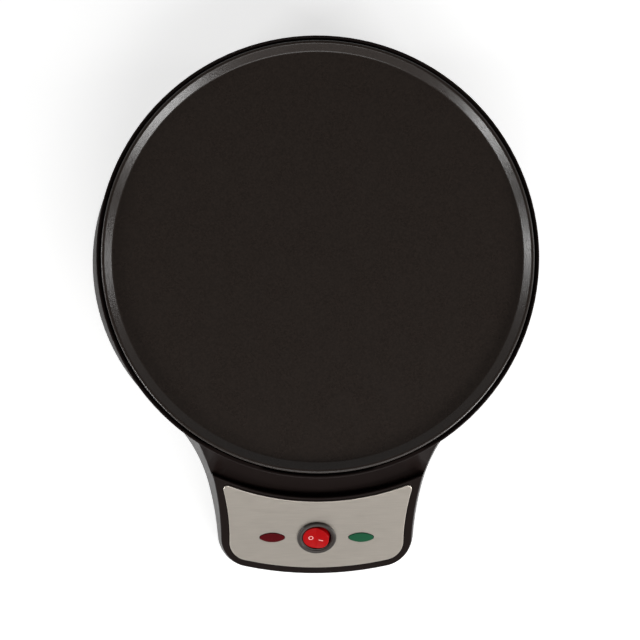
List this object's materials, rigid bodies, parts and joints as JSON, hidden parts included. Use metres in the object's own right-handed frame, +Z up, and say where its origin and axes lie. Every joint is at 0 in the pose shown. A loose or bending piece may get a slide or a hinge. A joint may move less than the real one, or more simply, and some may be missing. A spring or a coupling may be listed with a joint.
{
  "type": "electric crepe maker",
  "caption": "Round countertop crepe maker with a rimmed non-stick hot plate, flared black housing and a sloping steel control panel with a round rocker switch and lamps.",
  "frame": {"origin": "on the table, under the middle of the whole object, front to back and side to side", "axes": "+Z up, -Y towards the control pod in front, +X to the right of a person standing in front"},
  "size_m": [0.327, 0.3828, 0.08],
  "materials": {
    "nonstick_plate": "fine-grained matt black non-stick coating on cast aluminium",
    "black_housing": "fine satin-grained black moulding",
    "stainless_panel": "satin brushed stainless sheet",
    "switch_black": "smooth black switch plastic",
    "rocker_red": "translucent red, polished",
    "lens_red": "clear dark red",
    "lens_green": "clear bottle green",
    "base_plastic": "black heat-proof base moulding",
    "foot_rubber": "soft black rubber",
    "zinc_steel": "zinc-plated steel",
    "heater_sheath": "heat-tinted steel sheath",
    "bright_sheet": "bright aluminised sheet",
    "brass_contact": "plain brass",
    "white_ceramic": "unglazed white ceramic",
    "spring_steel": "spring steel wire",
    "lamp_glass": "clear lamp glass",
    "grey_nylon": "natural grey nylon",
    "bush_plastic": "tough black nylon",
    "lead_brown": "brown silicone insulation",
    "lead_blue": "blue silicone insulation",
    "lead_earth": "green and yellow silicone insulation",
    "lead_red": "red silicone insulation",
    "lead_white": "white silicone insulation"
  },
  "bodies": {
    "root": {"cooking_plate": "nonstick_plate", "heating_element": "heater_sheath", "element_pins": "zinc_steel", "element_clamps": "zinc_steel", "element_screws": "zinc_steel", "thermostat": "white_ceramic", "thermostat_tabs": "brass_contact", "thermostat_screws": "zinc_steel", "thermal_fuse": "zinc_steel", "fuse_clip": "spring_steel", "fuse_screw": "zinc_steel", "earth_tag": "brass_contact", "earth_screw": "zinc_steel", "heat_reflector": "bright_sheet", "plate_spacers": "white_ceramic", "plate_screws": "zinc_steel", "upper_housing": "black_housing", "control_panel": "stainless_panel", "switch_housing": "switch_black", "switch_terminals": "brass_contact", "switch_lamp": "lamp_glass", "red_lens": "lens_red", "green_lens": "lens_green", "lamp_holders": "grey_nylon", "power_lamp": "lamp_glass", "ready_lamp": "lamp_glass", "bottom_cover": "base_plastic", "cover_screws": "zinc_steel", "rubber_feet": "foot_rubber", "cord_inlet": "bush_plastic", "cord_clamp": "grey_nylon", "clamp_screws": "zinc_steel", "terminal_block": "grey_nylon", "block_screws": "brass_contact", "live_lead": "lead_brown", "neutral_lead": "lead_blue", "earth_lead": "lead_earth", "switched_lead": "lead_red", "heater_lead": "lead_white", "lamp_leads": "lead_white"},
    "rocker": {"switch_rocker": "rocker_red", "rocker_plunger": "grey_nylon", "plunger_spring": "spring_steel"},
    "lever": {"contact_lever": "brass_contact"}
  },
  "joints": [
    {"name": "rocker_tilt", "type": "hinge", "parent": "root", "child": "rocker", "pos_m": [0, -0.16099, 0.03364], "axis": [0, 0.8192, 0.5736], "range_deg": [0, 16]},
    {"name": "lever_tilt", "type": "hinge", "parent": "root", "child": "lever", "pos_m": [0, -0.15546, 0.02575], "axis": [0, 0.8192, 0.5736], "range_deg": [-12, 0]}
  ],
  "couplings": [
    {"joint": "lever_tilt", "follows": "rocker_tilt", "ratio": -0.75}
  ]
}
